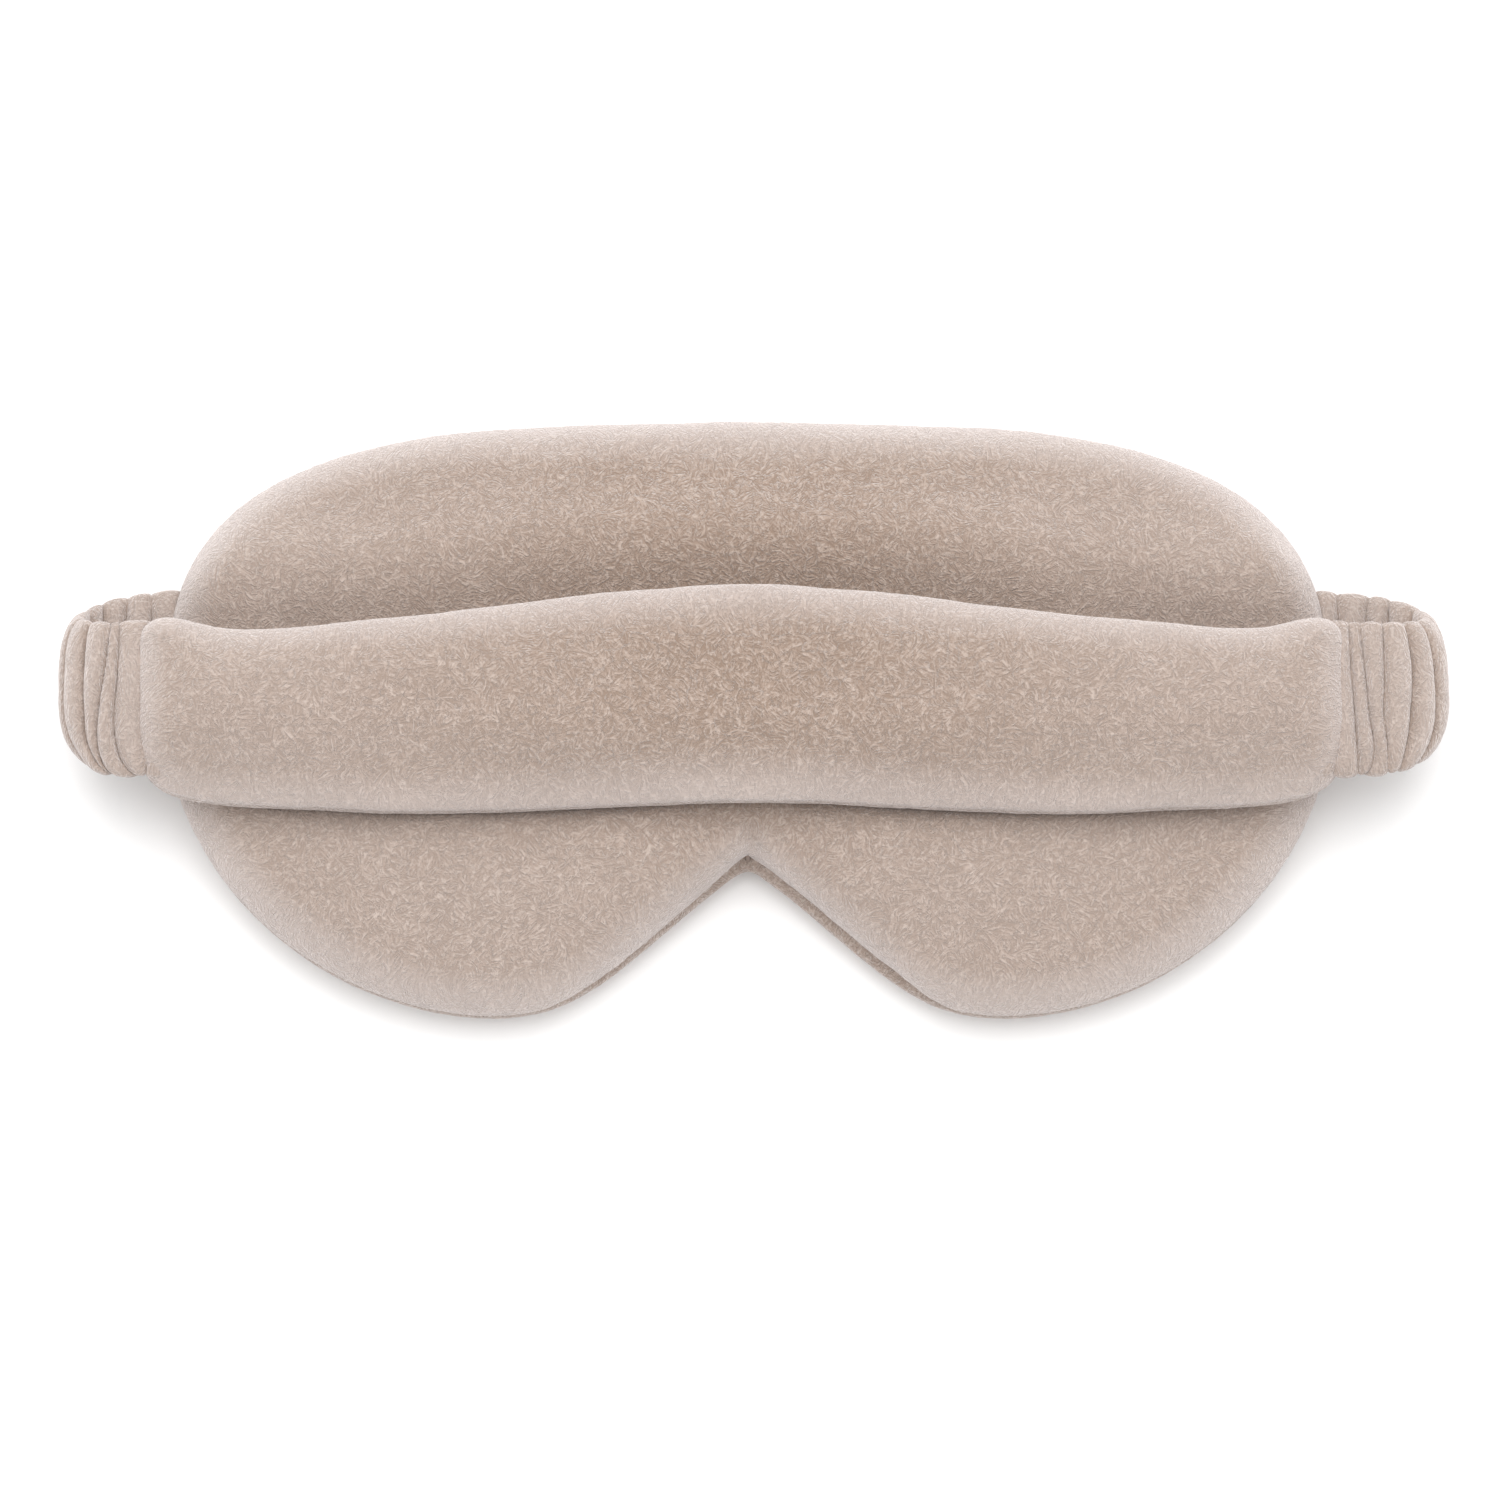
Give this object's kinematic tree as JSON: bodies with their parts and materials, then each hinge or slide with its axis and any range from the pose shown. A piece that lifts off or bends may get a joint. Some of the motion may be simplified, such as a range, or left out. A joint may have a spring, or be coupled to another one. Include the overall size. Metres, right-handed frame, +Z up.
{
  "type": "sleep eye mask",
  "caption": "Padded plush sleep mask with a nose notch, lying flat under its padded head band, which joins it through a gathered elastic loop at each side.",
  "frame": {"origin": "under the middle of the whole mask, on the surface it lies on", "axes": "+X towards the loop on the right when the brow edge is away from the viewer, +Y towards the brow edge, +Z up from the outer panel to the head band"},
  "size_m": [0.2704, 0.1175, 0.0384],
  "materials": {
    "plush_cloth": "short soft pile, no gloss, pale sheen at the edges",
    "padding": "loose matt fibre",
    "blackout_cloth": "close matt weave",
    "thread": "twisted thread, low gloss",
    "woven_elastic": "ribbed weave, low gloss"
  },
  "bodies": {
    "mask": {"face_panel": "plush_cloth", "outer_panel": "plush_cloth", "face_padding": "padding", "outer_padding": "padding", "blackout_liner": "blackout_cloth", "edge_stitching": "thread", "nose_tack": "thread", "left_side_stitching": "thread", "right_side_stitching": "thread"},
    "head_band": {"band_front_panel": "plush_cloth", "band_back_panel": "plush_cloth", "band_padding": "padding", "band_stitching": "thread", "left_band_end_stitching": "thread", "right_band_end_stitching": "thread"},
    "left_elastic": {"left_elastic_sleeve": "plush_cloth", "left_elastic_webbing": "woven_elastic"},
    "right_elastic": {"right_elastic_sleeve": "plush_cloth", "right_elastic_webbing": "woven_elastic"}
  },
  "joints": [
    {"name": "band_lift", "type": "slide", "parent": "mask", "child": "head_band", "axis": [0, 0, 1], "range_m": [0, 0.06], "stiffness_N_per_m": 70},
    {"name": "left_elastic_rise", "type": "slide", "parent": "mask", "child": "left_elastic", "axis": [0, 0, 1], "range_m": [0, 0.03], "deforming": ["left_elastic_sleeve", "left_elastic_webbing"]},
    {"name": "right_elastic_rise", "type": "slide", "parent": "mask", "child": "right_elastic", "axis": [0, 0, 1], "range_m": [0, 0.03], "deforming": ["right_elastic_sleeve", "right_elastic_webbing"]}
  ],
  "couplings": [
    {"joint": "left_elastic_rise", "follows": "band_lift", "ratio": 0.5},
    {"joint": "right_elastic_rise", "follows": "band_lift", "ratio": 0.5}
  ]
}
